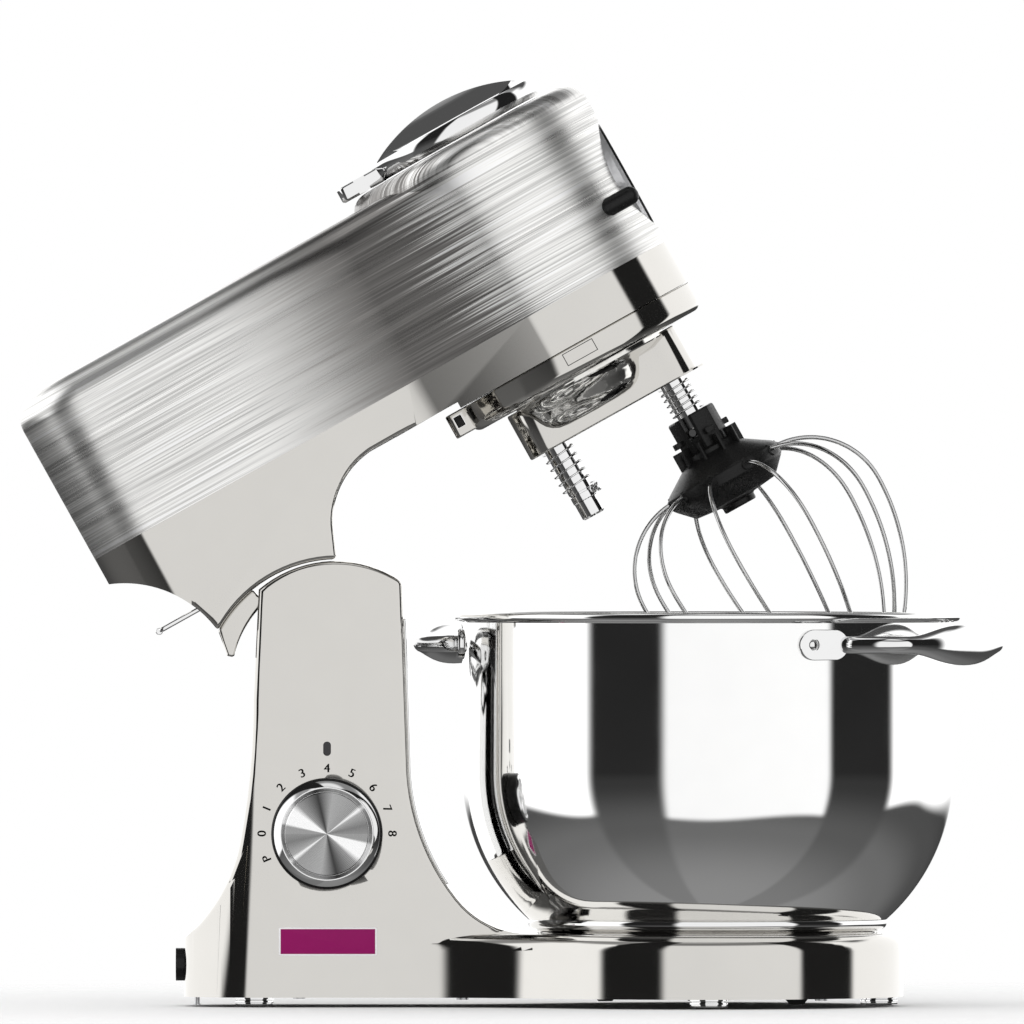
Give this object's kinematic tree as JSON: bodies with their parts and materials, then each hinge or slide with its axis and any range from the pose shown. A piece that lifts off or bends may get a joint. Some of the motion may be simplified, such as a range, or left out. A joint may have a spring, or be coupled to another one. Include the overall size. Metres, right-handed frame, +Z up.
{
  "type": "stand mixer",
  "caption": "Tilt-head stand mixer with planetary yoke, wire whisk, lift-out steel bowl with two handles, speed knob and covered front and top outlets.",
  "frame": {"origin": "on the counter plane, under the bowl's axis", "axes": "+X to the machine's front, +Z up, the speed knob on the -Y side; the head is stored tilted up"},
  "size_m": [0.4828, 0.248, 0.4554],
  "materials": {
    "badge": "plum, blank",
    "black_plastic": "satin black",
    "board": "circuit board",
    "brass": "turned",
    "bright_chrome": "bright chrome",
    "brushed_cover": "brushed along the head",
    "cast_aluminium": "as cast",
    "dark_lens": "gloss black",
    "machined_steel": "ground",
    "polished_casting": "polished, slightly warm",
    "polished_steel": "mirror polished",
    "rubber": "matt",
    "spun_aluminium": "spun, radial sheen",
    "winding": "laminated, with enamelled wire"
  },
  "bodies": {
    "stand": {"stand_shell": "polished_casting", "column_trim": "bright_chrome", "bottom_plate": "black_plastic", "foot_rings": "bright_chrome", "foot_pads": "rubber", "rubber_buffers": "rubber", "bottom_screws": "machined_steel", "bowl_socket": "polished_casting", "hinge_pin": "machined_steel", "speed_switch": "black_plastic", "control_board": "board", "indicator_lens": "dark_lens", "badge_plate": "badge", "cord_gland": "black_plastic"},
    "knob": {"knob_ring": "bright_chrome", "knob_cap": "spun_aluminium", "knob_spindle": "machined_steel"},
    "bowl": {"bowl_shell": "polished_steel", "bowl_foot": "polished_steel", "handle_front": "bright_chrome", "handle_rear": "bright_chrome", "handle_rivets": "bright_chrome"},
    "head": {"head_cover": "brushed_cover", "head_lower_shell": "polished_casting", "neck_skirt": "polished_casting", "hinge_arms": "machined_steel", "front_cap": "polished_casting", "cap_side_panel": "polished_casting", "cap_catch": "polished_casting", "port_ring": "polished_casting", "port_socket": "cast_aluminium", "lever_pin": "machined_steel", "ring_gear": "machined_steel", "drive_belt": "rubber", "motor_frame": "cast_aluminium", "motor_stator": "winding", "gearbox_frame": "cast_aluminium", "bearings": "brass"},
    "lid": {"top_lid": "bright_chrome"},
    "port_cover": {"port_cover": "black_plastic"},
    "port_release": {"port_release": "black_plastic"},
    "release_lever": {"release_lever": "bright_chrome"},
    "motor": {"motor_rotor": "machined_steel", "motor_fan": "black_plastic", "motor_pulley": "cast_aluminium"},
    "fast_drive": {"fast_shaft": "machined_steel", "big_pulley": "cast_aluminium", "blender_coupling": "black_plastic"},
    "layshaft": {"layshaft": "machined_steel"},
    "planet_carrier": {"planet_yoke": "bright_chrome", "carrier_plate": "machined_steel", "main_shaft": "machined_steel"},
    "spindle_front": {"spindle_front": "bright_chrome", "cross_pin_front": "bright_chrome", "spring_front": "bright_chrome"},
    "spindle_rear": {"spindle_rear": "bright_chrome", "cross_pin_rear": "bright_chrome", "spring_rear": "bright_chrome"},
    "whisk": {"whisk_hub": "black_plastic", "whisk_wires": "polished_steel"}
  },
  "joints": [
    {"name": "head_tilt", "type": "hinge", "parent": "stand", "child": "head", "pos_m": [-0.182, 0, 0.16], "axis": [0, 1, 0], "range_deg": [0, 29.2]},
    {"name": "speed_knob", "type": "hinge", "parent": "stand", "child": "knob", "pos_m": [-0.1861, -0.05, 0.0846], "axis": [0, 1, 0], "range_deg": [-22.5, 180]},
    {"name": "bowl_lift", "type": "slide", "parent": "stand", "child": "bowl", "axis": [0, 0, -1], "range_m": [-0.045, 0]},
    {"name": "planet_spin", "type": "hinge", "parent": "head", "child": "planet_carrier", "pos_m": [-0.0524, 0, 0.30117], "axis": [-0.4879, 0, 0.8729], "continuous": true},
    {"name": "spindle_front_spin", "type": "hinge", "parent": "planet_carrier", "child": "spindle_front", "pos_m": [-0.01427, 0, 0.29956], "axis": [-0.4879, 0, 0.8729], "continuous": true},
    {"name": "spindle_rear_spin", "type": "hinge", "parent": "planet_carrier", "child": "spindle_rear", "pos_m": [-0.07101, 0, 0.26785], "axis": [-0.4879, 0, 0.8729], "continuous": true},
    {"name": "layshaft_spin", "type": "hinge", "parent": "head", "child": "layshaft", "pos_m": [-0.0981, 0, 0.32145], "axis": [-0.4879, 0, 0.8729], "continuous": true},
    {"name": "fast_spin", "type": "hinge", "parent": "head", "child": "fast_drive", "pos_m": [-0.09631, 0, 0.37973], "axis": [-0.4879, 0, 0.8729], "continuous": true},
    {"name": "motor_spin", "type": "hinge", "parent": "head", "child": "motor", "pos_m": [-0.24979, 0, 0.27104], "axis": [-0.4879, 0, 0.8729], "continuous": true},
    {"name": "whisk_slide", "type": "slide", "parent": "spindle_front", "child": "whisk", "axis": [-0.4879, 0, 0.8729], "range_m": [-0.022, 0]},
    {"name": "lid_lift", "type": "slide", "parent": "head", "child": "lid", "axis": [0.4879, 0, -0.8729], "range_m": [-0.03, 0]},
    {"name": "port_cover_pull", "type": "slide", "parent": "head", "child": "port_cover", "axis": [-0.8729, 0, -0.4879], "range_m": [-0.05, 0]},
    {"name": "port_release_press", "type": "slide", "parent": "head", "child": "port_release", "axis": [-0.8729, 0, -0.4879], "range_m": [0, 0.004], "stiffness_N_per_m": 400},
    {"name": "release_lever_turn", "type": "hinge", "parent": "head", "child": "release_lever", "pos_m": [-0.23868, 0, 0.19992], "axis": [0, 1, 0], "range_deg": [0, 12], "stiffness_Nm_per_rad": 0.6}
  ],
  "couplings": [
    {"joint": "spindle_front_spin", "follows": "planet_spin", "ratio": -4.25},
    {"joint": "spindle_rear_spin", "follows": "planet_spin", "ratio": -4.25},
    {"joint": "layshaft_spin", "follows": "planet_spin", "ratio": -3},
    {"joint": "fast_spin", "follows": "planet_spin", "ratio": 9},
    {"joint": "motor_spin", "follows": "planet_spin", "ratio": 27}
  ]
}
